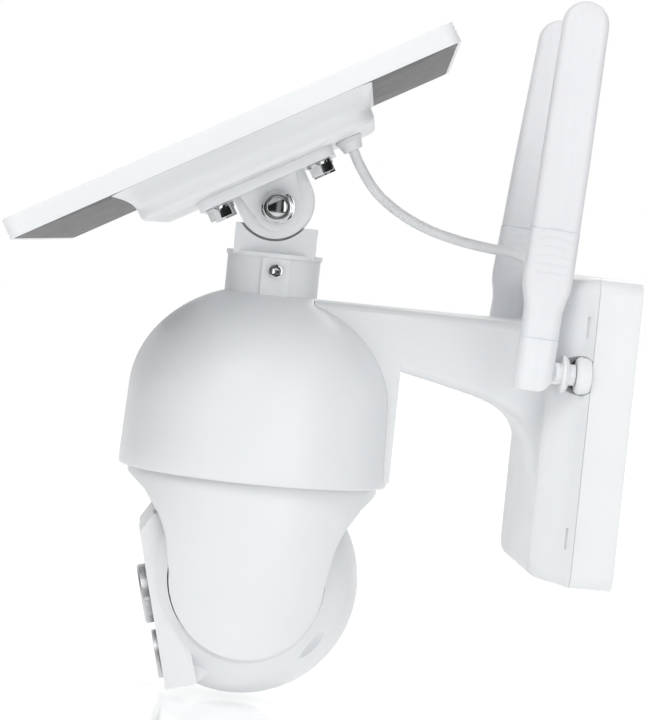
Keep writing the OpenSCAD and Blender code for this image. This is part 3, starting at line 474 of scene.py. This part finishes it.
def new_piece(name, bm, mat, body, place=Matrix.Identity(4)):
    """Makes an object of the mesh, moved by place and riding on the body if one is given."""
    bmesh.ops.recalc_face_normals(bm, faces=bm.faces)
    mesh = bpy.data.meshes.new(name)
    bm.to_mesh(mesh)
    bm.free()
    mesh.transform(place)
    mesh.materials.append(mat)
    obj = bpy.data.objects.new(name, mesh)
    bpy.context.scene.collection.objects.link(obj)
    nodes = obj.modifiers.new("smooth", "NODES")
    nodes.node_group = SMOOTH
    if body:
        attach(obj, body)
    return obj


def skin_rings(bm, rings):
    """Faces between rings of points, each ring a closed loop, and a face over each end."""
    verts = [[bm.verts.new(p) for p in ring] for ring in rings]
    count = len(rings[0])
    for a, b in zip(verts, verts[1:]):
        for i in range(count):
            bm.faces.new((a[i], a[(i + 1) % count], b[(i + 1) % count], b[i]))
    bm.faces.new(verts[0][::-1])
    bm.faces.new(verts[-1])


def turned(bm, profile, steps=64):
    """Turns (radius, height) points about local -Y, so height 0 is the seat and more is outwards."""
    rings = []
    for radius, height in profile:
        rings.append([(radius * math.cos(2 * math.pi * k / steps), -height,
                       radius * math.sin(2 * math.pi * k / steps)) for k in range(steps)])
    skin_rings(bm, rings)


def round_rect(width, height, radius, z, steps=10):
    """A closed loop round a rounded rectangle at height z."""
    loop = []
    for cx, cy, start in ((1, 1, 0), (-1, 1, 90), (-1, -1, 180), (1, -1, 270)):
        for i in range(steps + 1):
            a = math.radians(start + 90 * i / steps)
            loop.append((cx * (width / 2 - radius) + radius * math.cos(a),
                         cy * (height / 2 - radius) + radius * math.sin(a), z))
    return loop


# ---------- solar lead ----------

LEAD_D = 0.0045
LEAD_SIDES = 24
LEAD_STEPS = 10      # rings between two points of the route
LEAD_ROUTE = [
    (0.010, -0.1236, 0.1098), (0.010, -0.1196, 0.1028), (0.010, -0.112, 0.093),
    (0.010, -0.101, 0.085), (0.0096, -0.088, 0.0792), (0.009, -0.074, 0.0756),
    (0.0085, -0.060, 0.0736), (0.008, -0.049, 0.0726), (0.008, -0.0414, 0.0688),
]
LEAD_START = Vector((0, 0.5, -0.866))    # its direction out of the grommet
LEAD_END = Vector((0, 0.8, -0.6))        # and into the gland
LEAD_SPLIT = 4                           # the route's point where the two pieces meet


def lead_point(u):
    """The point at u on a smooth curve through the route, u counting its points."""
    pts = [Vector(p) for p in LEAD_ROUTE]
    last = len(pts) - 2
    i = min(int(math.floor(u)), last)
    t = u - i
    p1, p2 = pts[i], pts[i + 1]
    gap = (p2 - p1).length
    p0 = pts[i - 1] if i > 0 else p2 - 2 * gap * LEAD_START
    p3 = pts[i + 2] if i < last else p1 + 2 * gap * LEAD_END
    return 0.5 * (2 * p1 + (p2 - p0) * t + (2 * p0 - 5 * p1 + 4 * p2 - p3) * t * t
                  + (3 * p1 - p0 - 3 * p2 + p3) * t ** 3)


def lead_piece(name, u0, u1):
    """The lead from u0 to u1, as a fixed tube along the route that rides on no body."""
    steps = int((u1 - u0) * LEAD_STEPS)
    line = [lead_point(u0 + (u1 - u0) * k / steps) for k in range(steps + 1)]
    bm = bmesh.new()
    rings = []
    for k, p in enumerate(line):
        ahead = line[min(k + 1, steps)] - line[max(k - 1, 0)]
        side = ahead.normalized().cross(Vector((1, 0, 0))).normalized()
        over = ahead.normalized().cross(side)
        rings.append([p + LEAD_D / 2 * (math.cos(a) * side + math.sin(a) * over)
                      for a in (2 * math.pi * i / LEAD_SIDES for i in range(LEAD_SIDES))])
    skin_rings(bm, rings)
    obj = new_piece(name, bm, SHEATH, None)
    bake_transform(obj)
    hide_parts("solar_lead")
    return obj


lead_piece("lead_upper", 0, LEAD_SPLIT)
lead_piece("lead_lower", LEAD_SPLIT, len(LEAD_ROUTE) - 1)


# ---------- panel ----------

TRAY_FLOOR = (0.0705, 0.050)     # half sizes of the flat floor
TRAY_ROUND = 0.003               # radius between floor and wall
TRAY_TOP = (0.1255, 0.057)       # half sizes where the flare meets the panel
TRAY_CORNER = 0.010              # corner radius seen from below
TRAY_GAP = 0.00005               # between the flare's rim and the panel
FLARE_START = 0.004              # height where the wall starts to flare


def tray_sections():
    """Height, half sizes and corner radius of each section from the floor to the flare's rim."""
    wall = [half + TRAY_ROUND for half in TRAY_FLOOR]
    for i in range(7):
        a = math.radians(90 * i / 6)
        grow = TRAY_ROUND * (math.sin(a) - 1)
        yield TRAY_ROUND * (1 - math.cos(a)), wall[0] + grow, wall[1] + grow, TRAY_CORNER + grow
    height = TRAY_DEPTH - TRAY_GAP - FLARE_START
    for i in range(11):
        t = (i / 10) ** 0.7
        flare = t ** 2.8
        yield (FLARE_START + height * t, wall[0] + (TRAY_TOP[0] - wall[0]) * flare,
               wall[1] + (TRAY_TOP[1] - wall[1]) * flare, TRAY_CORNER + 0.002 * t)


def panel_tray():
    """Junction tray: a moulded back whose sides flare out under the panel."""
    bm = bmesh.new()
    bottom = UNDER - TRAY_DEPTH
    skin_rings(bm, [round_rect(2 * hx, 2 * hy, r, bottom + z) for z, hx, hy, r in tray_sections()])
    obj = new_piece("tray_shell", bm, WHITE, "solar_panel", PANEL_FRAME)
    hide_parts("panel_tray")


panel_tray()


def busbars():
    """Three flat silver strips along each row of cells, under the glass."""
    bm = bmesh.new()
    cols, lines = 6, 3
    margin_x, margin_u, cell_gap = 0.020, 0.022, 0.002
    spacing, foot, top, thick = 0.0115, 0.0006, 0.0004, 0.00006
    pitch_x = (PANEL_SIZE[0] - margin_x) / cols
    pitch_u = (PANEL_SIZE[1] - margin_u) / lines
    z = UNDER + 0.00491
    half_len = (pitch_u - cell_gap) / 2
    for i in range(cols):
        for j in range(lines):
            cx = (i - (cols - 1) / 2) * pitch_x
            cy = (j - (lines - 1) / 2) * pitch_u + PANEL_SHIFT
            for off in (-spacing, 0, spacing):
                rings = []
                for y in (cy - half_len, cy + half_len):
                    rings.append([(cx + off - foot, y, z), (cx + off + foot, y, z),
                                  (cx + off + top, y, z + thick), (cx + off - top, y, z + thick)])
                skin_rings(bm, rings)
    new_piece("cell_busbars", bm, PLATED, "solar_panel", PANEL_FRAME)


busbars()


# ---------- camera face ----------

def pir_dome():
    """Domed sensor window stepped in fine rings, as a Fresnel lens is."""
    bm = bmesh.new()
    edge, foot, rim, rise, step, count = 0.0086, 0.0002, 0.0006, 0.0013, 0.00012, 15
    profile = [(edge, foot), (edge, rim)]
    for i in range(1, count):
        a = i / count
        radius = edge * (1 - a)
        height = rim + rise * (1 - (1 - a) ** 2)
        profile.append((radius, height + (step if i % 2 else 0)))
    turned(bm, profile)
    place = BALL_FRAME @ Matrix.Translation((0, FACE_Y, PIR_DOWN))
    obj = new_piece("pir_dome", bm, MILKY, "camera_ball", place)
    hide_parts("pir_window")


def front_lens():
    """Curved front element in the barrel."""
    bm = bmesh.new()
    edge, radius, foot, rim, rise, count = 0.0098, 0.0094, 0.0012, 0.0026, 0.0013, 12
    profile = [(edge, foot), (edge, rim)]
    for i in range(1, count):
        a = math.radians(90 * i / count)
        profile.append((radius * math.cos(a), rim + rise * math.sin(a)))
    turned(bm, profile)
    place = BALL_FRAME @ Matrix.Translation((0, FACE_Y, LENS_UP))
    obj = new_piece("front_lens", bm, COATING, "camera_ball", place)
    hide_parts("lens_glass")


pir_dome()
front_lens()


# ---------- fastening details ----------

def bolt_thread():
    """Rolled thread on the end of the pivot bolt, inside and just past the nut."""
    bm = bmesh.new()
    pitch, turns, steps = 0.00125, 6, 40
    start, core, depth, width = 0.0205, 0.0040, 0.00034, 0.9
    flank = ((-0.5, -0.2), (-0.12, 1), (0.12, 1), (0.5, -0.2))    # along the bolt and outwards
    total = turns * steps
    rings = []
    for k in range(total + 1):
        a = 2 * math.pi * k / steps
        x = start + pitch * k / steps
        fade = min(1, k / steps, (total - k) / steps)
        ring = []
        for dx, dr in flank:
            r = core + depth * dr * fade
            ring.append((x + dx * pitch * width, r * math.cos(a), r * math.sin(a)))
        rings.append(ring)
    skin_rings(bm, rings)
    new_piece("bolt_thread", bm, STAINLESS, "solar_panel", PANEL_FRAME)


bolt_thread()


def gland_ribs():
    """Grip ribs round the gland's dome nut."""
    bm = bmesh.new()
    count = 14
    foot, crest, sunk, proud = 0.0005, 0.0003, 0.0004, 0.0003
    for k in range(count):
        a = 2 * math.pi * k / count
        across = Vector((-math.sin(a), math.cos(a), 0))
        out = Vector((math.cos(a), math.sin(a), 0))
        rings = []
        for z, r in ((0.0045, 0.0050), (0.0060, 0.0050), (0.0095, 0.00445)):
            centre = out * r + Vector((0, 0, z))
            rings.append([centre - across * foot - out * sunk, centre + across * foot - out * sunk,
                          centre + across * crest + out * proud,
                          centre - across * crest + out * proud])
        skin_rings(bm, rings)
    place = Matrix.Translation(GLAND_AT) @ Euler((GLAND_LEAN, 0, 0)).to_matrix().to_4x4()
    new_piece("gland_ribs", bm, WHITE, "wall_unit", place)


gland_ribs()


def grip_lines(body, x, lean):
    """Faint raised arcs across the foot of an antenna's blade, on both broad faces."""
    bm = bmesh.new()
    half, pitch, lines, steps = 0.0068, 0.0034, 6, 12
    highest, arch = 0.0585, 0.0021
    seat, proud, spread = 0.0046, 0.00493, 0.00028
    for face in (-1, 1):
        for k in range(lines):
            rise = arch * (1 - k / lines)
            rings = []
            for i in range(steps + 1):
                y = half * (2 * i / steps - 1)
                z = highest - k * pitch + rise * (1 - (y / half) ** 2)
                rings.append([(face * seat, y, z - spread), (face * proud, y, z),
                              (face * seat, y, z + spread)])
            skin_rings(bm, rings)
    place = Matrix.Translation((x, *FOLD_AT)) @ Matrix.Rotation(math.radians(-lean), 4, "X")
    new_piece(body + "_grip", bm, ANTENNA, body, place)


for antenna in ANTENNAS:
    grip_lines(*antenna)


# ---------- floor, light and background ----------

FLOOR_REACH = 6
FLOOR_FRONT = 0.9     # where the floor ends towards the photo's camera
FLOOR_DROP = 0.0026


def make_stage():
    """Pale glossy floor just below the lowest point."""
    mesh = bpy.data.meshes.new("studio_floor")
    z = cad_box[0][2] - FLOOR_DROP
    back, side = -FLOOR_REACH, FLOOR_REACH
    mesh.from_pydata([(back, -side, z), (FLOOR_FRONT, -side, z), (FLOOR_FRONT, side, z), (back, side, z)],
                     [], [(0, 1, 2, 3)])
    floor = bpy.data.objects.new("studio_floor", mesh)
    bpy.context.scene.collection.objects.link(floor)
    n = Nodes("studio_white")
    n.colour(n.ramp(n.noise(3, 3), (0.3, (0.97, 0.97, 0.97)), (0.7, (0.985, 0.985, 0.985))))
    n.rough(n.spread(n.noise(5, 3), 0.1, 0.13))
    glow = n.ramp(n.noise(3, 3), (0.3, (0.99, 0.99, 0.99)), (0.7, (1, 1, 1)))
    n.link(glow, n.bsdf.inputs["Emission Color"])
    n.set(Emission_Strength=0.22, Specular_IOR_Level=0.8)
    mesh.materials.append(n.mat)


make_stage()


LIGHT_AIM = (0, -0.12, 0)


def area_light(name, place, size, power, gloss=1.0):
    """A square soft box that looks at the object; gloss scales how it shows in shiny surfaces."""
    data = bpy.data.lights.new(name, "AREA")
    data.shape = "RECTANGLE"
    data.size = data.size_y = size
    data.energy = power
    data.specular_factor = gloss
    lamp = bpy.data.objects.new(name, data)
    lamp.location = place
    lamp.rotation_euler = (Vector(LIGHT_AIM) - Vector(place)).to_track_quat("-Z", "Y").to_euler()
    bpy.context.scene.collection.objects.link(lamp)


area_light("key", (1.1, -0.75, 1.1), 0.9, 8.6)
area_light("fill", (1.5, 0.5, 0.2), 0.8, 3.7)
area_light("far_fill", (-1.3, 0.4, 1.0), 0.8, 6, gloss=0.0)


# Brightness across the studio as a mirror sees it: dark flags with white strips between them
FLAGS = [
    (0.0, 0.02), (0.12, 0.02), (0.13, 1.0), (0.22, 1.0), (0.23, 0.02), (0.41, 0.02), (0.44, 0.3),
    (0.50, 0.3), (0.53, 0.02), (0.70, 0.02), (0.72, 1.0), (0.80, 1.0), (0.82, 0.02), (1.0, 0.02),
]
BEHIND = -0.7         # directions with a lower X are white in a mirror
# Brightness for diffuse light, from below to above and from the far side to the photo's side
SKY_UP = [(0.0, 0.3), (0.45, 0.33), (0.75, 0.42), (1.0, 0.56)]
SKY_NEAR = [(0.0, 0.02), (0.5, 0.02), (1.0, 0.32)]


def make_world():
    """White for the camera, softer for diffuse light, and with dark flags for mirror-like metal."""
    world = bpy.data.worlds.new("studio")
    world.use_nodes = True
    tree = world.node_tree
    out = tree.nodes["World Output"]
    path = tree.nodes.new("ShaderNodeLightPath")
    coord = tree.nodes.new("ShaderNodeTexCoord")
    axes = tree.nodes.new("ShaderNodeSeparateXYZ")
    tree.links.new(coord.outputs["Generated"], axes.inputs[0])

    def background(strength):
        node = tree.nodes.new("ShaderNodeBackground")
        node.inputs["Color"].default_value = (1, 1, 1, 1)
        if isinstance(strength, float):
            node.inputs["Strength"].default_value = strength
        else:
            tree.links.new(strength, node.inputs["Strength"])
        return node.outputs[0]

    def ramp(value, stops):
        span = tree.nodes.new("ShaderNodeMapRange")
        span.inputs["From Min"].default_value = -1
        span.inputs["From Max"].default_value = 1
        tree.links.new(value, span.inputs["Value"])
        node = tree.nodes.new("ShaderNodeValToRGB")
        while len(node.color_ramp.elements) < len(stops):
            node.color_ramp.elements.new(0.5)
        for element, (place, grey) in zip(node.color_ramp.elements, stops):
            element.position = place
            element.color = (grey, grey, grey, 1)
        tree.links.new(span.outputs["Result"], node.inputs["Fac"])
        return node.outputs["Color"]

    def mix(fac, a, b):
        node = tree.nodes.new("ShaderNodeMixShader")
        tree.links.new(fac, node.inputs["Fac"])
        tree.links.new(a, node.inputs[1])
        tree.links.new(b, node.inputs[2])
        return node.outputs[0]

    total = tree.nodes.new("ShaderNodeMath")
    total.operation = "ADD"
    tree.links.new(ramp(axes.outputs["Z"], SKY_UP), total.inputs[0])
    tree.links.new(ramp(axes.outputs["X"], SKY_NEAR), total.inputs[1])
    soft = background(total.outputs[0])
    bands = ramp(axes.outputs["Y"], FLAGS)
    behind = tree.nodes.new("ShaderNodeMath")
    behind.operation = "LESS_THAN"
    behind.inputs[1].default_value = BEHIND
    tree.links.new(axes.outputs["X"], behind.inputs[0])
    either = tree.nodes.new("ShaderNodeMath")
    either.operation = "MAXIMUM"
    tree.links.new(behind.outputs[0], either.inputs[0])
    tree.links.new(bands, either.inputs[1])
    flags = background(either.outputs[0])
    white = background(1.0)
    lit = mix(path.outputs["Is Glossy Ray"], soft, flags)
    tree.links.new(mix(path.outputs["Is Camera Ray"], lit, white), out.inputs["Surface"])
    bpy.context.scene.world = world


make_world()
bpy.context.scene.view_settings.view_transform = "Standard"
